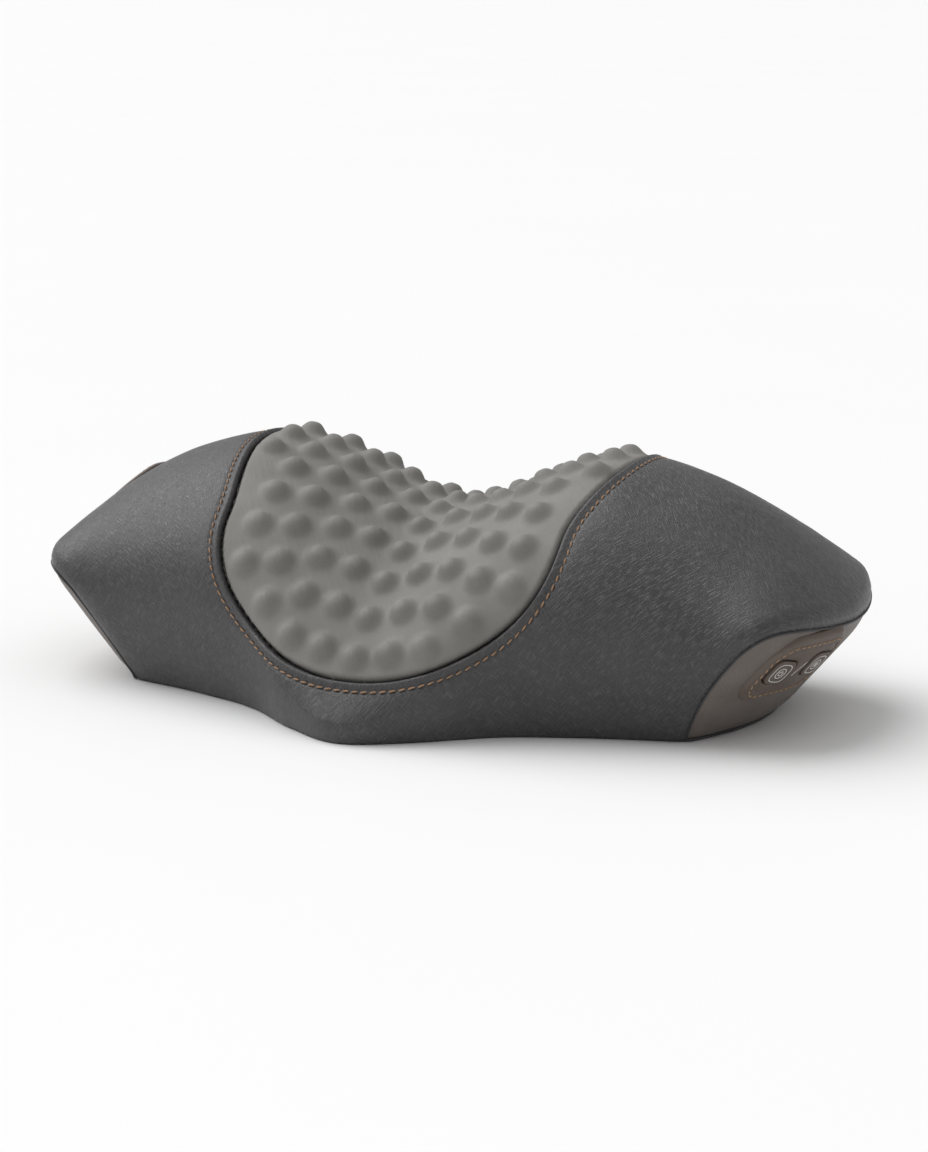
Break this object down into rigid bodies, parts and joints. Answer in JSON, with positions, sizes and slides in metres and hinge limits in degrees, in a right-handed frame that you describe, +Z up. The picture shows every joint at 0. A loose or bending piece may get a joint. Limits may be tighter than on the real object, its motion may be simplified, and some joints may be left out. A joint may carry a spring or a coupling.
{
  "type": "shiatsu neck massager",
  "caption": "Saddle-shaped neck massage cushion with a bumpy centre panel, two spinning kneading heads inside, a keypad on one end and a flap over its charging port.",
  "frame": {"origin": "centre of the footprint, on the table plane under the rubber feet", "axes": "+X along the cushion towards the keypad end, -Y to the front of the massage panel, +Z up"},
  "size_m": [0.4011, 0.2482, 0.113],
  "materials": {
    "charcoal_leather": "embossed soft synthetic leather, satin",
    "grey_panel": "soft silicone-coated stretch skin with round bumps, matte",
    "taupe_leather": "smooth soft synthetic leather, satin",
    "keypad_leather": "smooth soft synthetic leather with contrast stitching",
    "flap_leather": "smooth synthetic leather, edge painted dark",
    "key_rubber": "soft-touch rubber with printed symbols",
    "base_plastic": "fine spark texture",
    "foot_rubber": "matte rubber",
    "white_foam": "open-cell foam",
    "heater_film": "thin heater film",
    "frame_plastic": "moulded plastic",
    "gearbox_plastic": "moulded plastic",
    "wheel_nylon": "nylon",
    "bronze": "sintered bronze",
    "bright_steel": "plain bright steel",
    "arm_plastic": "moulded plastic",
    "ball_plastic": "polished plastic",
    "magnet_iron": "dark iron",
    "board_green": "solder resist",
    "component_black": "moulded epoxy",
    "cell_wrap": "shrink film"
  },
  "bodies": {
    "root": {"base_plate": "base_plastic", "base_screws": "bright_steel", "battery_cradle": "frame_plastic", "board_components": "component_black", "board_screws": "bright_steel", "centre_foam": "white_foam", "charging_socket": "bright_steel", "control_board": "board_green", "control_pad": "keypad_leather", "flap_anchor_strip": "flap_leather", "gearbox_lid": "gearbox_plastic", "gearbox_lower_housing": "gearbox_plastic", "gearbox_screws": "bright_steel", "heater_mat": "heater_film", "inner_frame": "frame_plastic", "key_boards": "board_green", "key_switches": "component_black", "left_battery_cell": "cell_wrap", "left_end_cap": "taupe_leather", "left_lower_bush": "bronze", "left_upper_bush": "bronze", "left_wing_foam": "white_foam", "massage_panel": "grey_panel", "motor_can": "bright_steel", "motor_end_bell": "arm_plastic", "motor_magnets": "magnet_iron", "motor_screws": "bright_steel", "port_bezel": "base_plastic", "right_battery_cell": "cell_wrap", "right_end_cap": "taupe_leather", "right_lower_bush": "bronze", "right_upper_bush": "bronze", "right_wing_foam": "white_foam", "rubber_feet": "foot_rubber", "wing_cover": "charcoal_leather", "worm_bush": "bronze"},
    "left_head": {"left_worm_wheel": "wheel_nylon", "left_head_shaft": "bright_steel", "left_rotor_arm": "arm_plastic", "left_arm_screw": "bright_steel", "left_big_ball_1": "ball_plastic", "left_big_ball_2": "ball_plastic", "left_small_ball_1": "ball_plastic", "left_small_ball_2": "ball_plastic"},
    "right_head": {"right_worm_wheel": "wheel_nylon", "right_head_shaft": "bright_steel", "right_rotor_arm": "arm_plastic", "right_arm_screw": "bright_steel", "right_big_ball_1": "ball_plastic", "right_big_ball_2": "ball_plastic", "right_small_ball_1": "ball_plastic", "right_small_ball_2": "ball_plastic"},
    "worm_drive": {"worm": "bronze", "motor_shaft": "bright_steel", "motor_rotor": "magnet_iron"},
    "flap": {"port_flap": "flap_leather"},
    "power_key": {"power_button": "key_rubber"},
    "heat_key": {"heat_button": "key_rubber"}
  },
  "joints": [
    {"name": "right_head_spin", "type": "hinge", "parent": "root", "child": "right_head", "pos_m": [0.046, 0, 0.029], "axis": [0, 0, 1], "continuous": true},
    {"name": "left_head_spin", "type": "hinge", "parent": "root", "child": "left_head", "pos_m": [-0.046, 0, 0.029], "axis": [0, 0, 1], "continuous": true},
    {"name": "worm_spin", "type": "hinge", "parent": "root", "child": "worm_drive", "pos_m": [0, 0, 0.029], "axis": [0, 1, 0], "continuous": true},
    {"name": "power_press", "type": "slide", "parent": "root", "child": "power_key", "axis": [-0.7109, 0.355, 0.6071], "range_m": [0, 0.0008], "stiffness_N_per_m": 900},
    {"name": "heat_press", "type": "slide", "parent": "root", "child": "heat_key", "axis": [-0.7454, 0.198, 0.6366], "range_m": [0, 0.0008], "stiffness_N_per_m": 900},
    {"name": "flap_lift", "type": "hinge", "parent": "root", "child": "flap", "pos_m": [-0.17274, 0.023, 0.07855], "axis": [-0.7853, 0, -0.6191], "range_deg": [0, 75]}
  ],
  "couplings": [
    {"joint": "left_head_spin", "follows": "right_head_spin", "ratio": -1},
    {"joint": "worm_spin", "follows": "right_head_spin", "ratio": 60}
  ]
}
